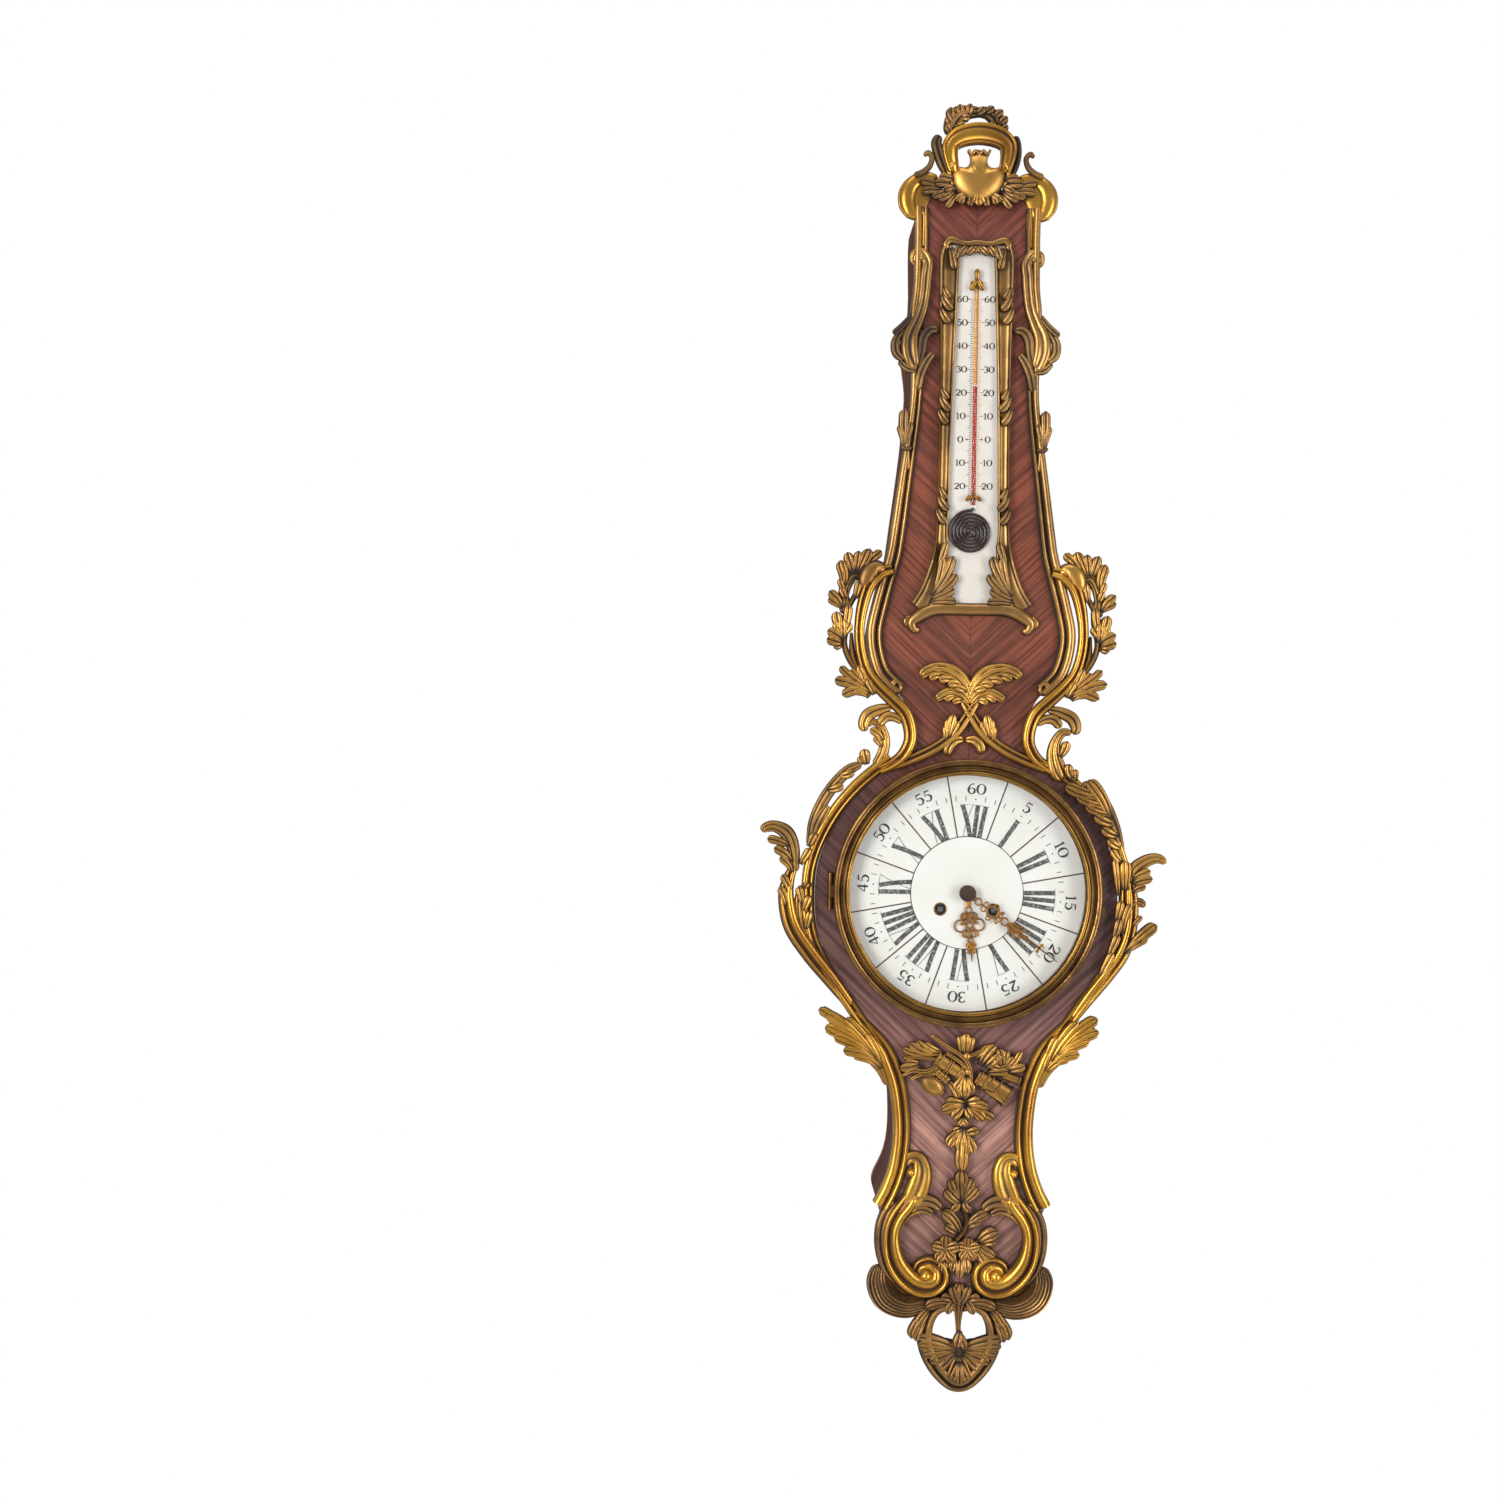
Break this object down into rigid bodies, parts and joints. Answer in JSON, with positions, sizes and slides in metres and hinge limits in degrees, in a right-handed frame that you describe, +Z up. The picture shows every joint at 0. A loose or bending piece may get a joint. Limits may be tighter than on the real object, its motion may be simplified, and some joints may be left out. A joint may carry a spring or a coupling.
{
  "type": "wall clock with thermometer",
  "caption": "Tall violin-shaped veneered wall clock with gilt scrollwork, a dial of enamel plaques behind a hinged glass bezel and a thermometer above.",
  "frame": {"origin": "centre of the hanging hole, on the plane of the wall", "axes": "+Z up, +Y into the wall, +X to the right as seen from the front; the front faces -Y"},
  "size_m": [0.3888, 0.1147, 1.1974],
  "materials": {
    "gilt_mounts": "mercury gilt, worn, dark patina in the hollows",
    "veneer": "polished rosewood-like veneer laid in chevrons",
    "pine_back": "plain planed board",
    "steel_parts": "satin",
    "enamel": "glossy white enamel",
    "clear_glass": "clear",
    "dark_glass": "glass tube full of dark spirit",
    "turned_brass": "turned, dull with a bright inner bead",
    "movement_brass": "satin",
    "hand_brass": "gilt, worn to a warm brown",
    "dark_bronze": "dark bronze",
    "bell_metal": "satin"
  },
  "bodies": {
    "case": {"crest_leaves": "gilt_mounts", "crest_arch": "gilt_mounts", "crest_shield": "gilt_mounts", "neck_moulding_left": "gilt_mounts", "neck_moulding_right": "gilt_mounts", "shoulder_scroll_left": "gilt_mounts", "shoulder_scroll_right": "gilt_mounts", "side_branch_left": "gilt_mounts", "side_branch_right": "gilt_mounts", "crossed_acanthus": "gilt_mounts", "dial_band_left": "gilt_mounts", "dial_band_right": "gilt_mounts", "dial_branch_left": "gilt_mounts", "dial_branch_right": "gilt_mounts", "foot_moulding_left": "gilt_mounts", "foot_moulding_right": "gilt_mounts", "trophy_mount": "gilt_mounts", "flower_drop": "gilt_mounts", "base_scroll_left": "gilt_mounts", "base_scroll_right": "gilt_mounts", "base_flowers": "gilt_mounts", "pendant_drop": "gilt_mounts", "thermometer_frame": "gilt_mounts", "back_board": "pine_back", "case_sides": "veneer", "front_panel": "veneer", "hanger_plate": "steel_parts", "hanger_screws": "steel_parts", "back_screws": "steel_parts", "thermometer_plate": "enamel", "hour_plaques": "enamel", "centre_plaque": "enamel", "thermometer_tube": "clear_glass", "thermometer_bulb": "dark_glass", "tube_clips": "gilt_mounts", "dial_ring": "turned_brass", "bezel_pin": "steel_parts", "dial_plate": "movement_brass", "movement_front_plate": "movement_brass", "movement_back_plate": "movement_brass", "bell": "bell_metal"},
    "bezel": {"bezel_ring": "turned_brass", "bezel_glass": "clear_glass"},
    "minute": {"centre_wheel": "movement_brass", "cannon_pinion": "steel_parts", "minute_hand": "hand_brass", "hand_collet": "dark_bronze"},
    "hour": {"hour_wheel": "movement_brass", "hour_hand": "hand_brass"},
    "minute_work": {"minute_wheel": "movement_brass"},
    "going_drum": {"going_barrel": "movement_brass"},
    "strike_drum": {"strike_barrel": "movement_brass"},
    "going_arbor": {"going_winder": "steel_parts"},
    "strike_arbor": {"strike_winder": "steel_parts"},
    "third": {"third_wheel": "movement_brass"},
    "escape": {"escape_wheel": "movement_brass"},
    "swing": {"pallet_arbor": "steel_parts", "pendulum": "steel_parts", "pendulum_bob": "movement_brass"},
    "striker": {"hammer": "steel_parts"}
  },
  "joints": [
    {"name": "minute_turn", "type": "hinge", "parent": "case", "child": "minute", "pos_m": [0, -0.06, -0.6672], "axis": [0, 1, 0], "continuous": true},
    {"name": "hour_turn", "type": "hinge", "parent": "case", "child": "hour", "pos_m": [0, -0.085, -0.6672], "axis": [0, 1, 0], "continuous": true},
    {"name": "minute_wheel_turn", "type": "hinge", "parent": "case", "child": "minute_work", "pos_m": [0, -0.08, -0.6504], "axis": [0, 1, 0], "continuous": true},
    {"name": "going_barrel_turn", "type": "hinge", "parent": "case", "child": "going_drum", "pos_m": [0.0246, -0.06, -0.6825], "axis": [0, 1, 0], "continuous": true},
    {"name": "third_wheel_turn", "type": "hinge", "parent": "case", "child": "third", "pos_m": [-0.0135, -0.06, -0.64983], "axis": [0, 1, 0], "continuous": true},
    {"name": "escape_wheel_turn", "type": "hinge", "parent": "case", "child": "escape", "pos_m": [0, -0.06, -0.63686], "axis": [0, 1, 0], "continuous": true},
    {"name": "strike_barrel_turn", "type": "hinge", "parent": "case", "child": "strike_drum", "pos_m": [-0.0246, -0.06, -0.6825], "axis": [0, 1, 0], "continuous": true},
    {"name": "going_winder_turn", "type": "hinge", "parent": "case", "child": "going_arbor", "pos_m": [0.0246, -0.06, -0.6825], "axis": [0, 1, 0], "continuous": true},
    {"name": "strike_winder_turn", "type": "hinge", "parent": "case", "child": "strike_arbor", "pos_m": [-0.0246, -0.06, -0.6825], "axis": [0, 1, 0], "continuous": true},
    {"name": "pendulum_swing", "type": "hinge", "parent": "case", "child": "swing", "pos_m": [0, -0.05, -0.6192], "axis": [0, 1, 0], "range_deg": [-3, 3]},
    {"name": "hammer_swing", "type": "hinge", "parent": "case", "child": "striker", "pos_m": [0.024, -0.05, -0.6242], "axis": [0, -1, 0], "range_deg": [0, 14], "stiffness_Nm_per_rad": 0.01},
    {"name": "bezel_open", "type": "hinge", "parent": "case", "child": "bezel", "pos_m": [-0.1269, -0.099, -0.6672], "axis": [0, 0, -1], "range_deg": [0, 95]}
  ],
  "couplings": [
    {"joint": "hour_turn", "follows": "minute_turn", "ratio": 0.083333},
    {"joint": "minute_wheel_turn", "follows": "minute_turn", "ratio": -0.33333},
    {"joint": "going_barrel_turn", "follows": "minute_turn", "ratio": -0.125},
    {"joint": "third_wheel_turn", "follows": "minute_turn", "ratio": -10},
    {"joint": "escape_wheel_turn", "follows": "minute_turn", "ratio": 120}
  ]
}
